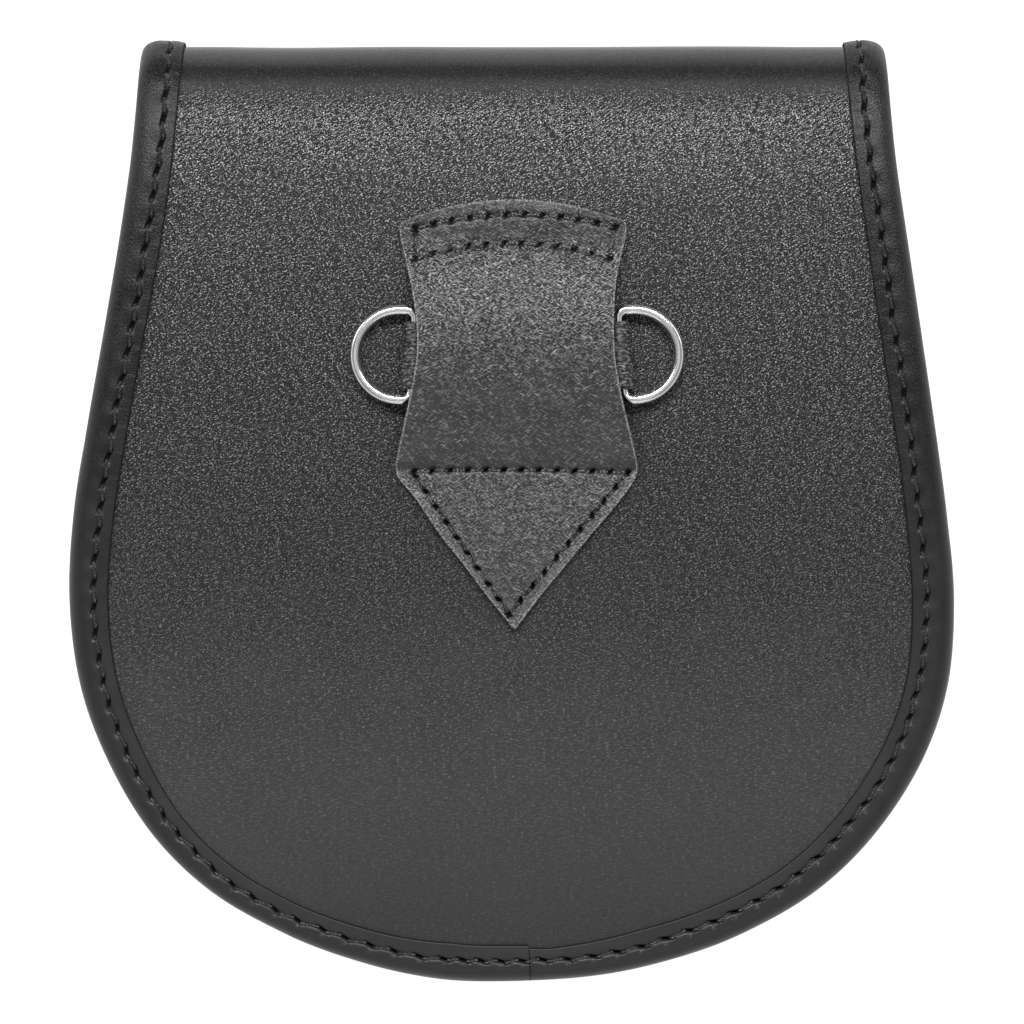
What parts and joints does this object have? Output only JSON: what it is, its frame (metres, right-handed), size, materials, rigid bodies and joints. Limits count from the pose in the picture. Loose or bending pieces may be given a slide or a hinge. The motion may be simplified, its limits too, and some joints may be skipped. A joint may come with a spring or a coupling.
{
  "type": "sporran pouch",
  "caption": "Black leather sporran pouch lying on its flap, with a bound edge, a sewn patch and a strap that holds a ring on each side of the back.",
  "frame": {"origin": "under the middle of the bag, on the surface that its flap lies on", "axes": "+X across the bag, to the right as its back is seen; +Y up the bag, towards the rolled top; +Z off the surface, out of the back"},
  "size_m": [0.2033, 0.218, 0.0492],
  "materials": {
    "black_leather": "grained, satin",
    "binding_leather": "smooth, satin",
    "patch_leather": "coarse grained, satin",
    "nickel": "polished"
  },
  "bodies": {
    "pouch": {"leather_panel": "black_leather", "edge_binding": "binding_leather", "front_panel": "black_leather", "gusset": "black_leather", "hanger_patch": "patch_leather", "ring_strap": "binding_leather", "snap_stud": "nickel"},
    "left_ring": {"d_ring_left": "nickel"},
    "right_ring": {"d_ring_right": "nickel"}
  },
  "joints": [
    {"name": "left_ring_hinge", "type": "hinge", "parent": "pouch", "child": "left_ring", "pos_m": [-0.0226, 0.03479, 0.04354], "axis": [0.0558, 0.9979, -0.0315], "range_deg": [0, 65]},
    {"name": "right_ring_hinge", "type": "hinge", "parent": "pouch", "child": "right_ring", "pos_m": [0.0249, 0.03479, 0.04354], "axis": [0.0837, -0.996, 0.0314], "range_deg": [0, 75]}
  ]
}
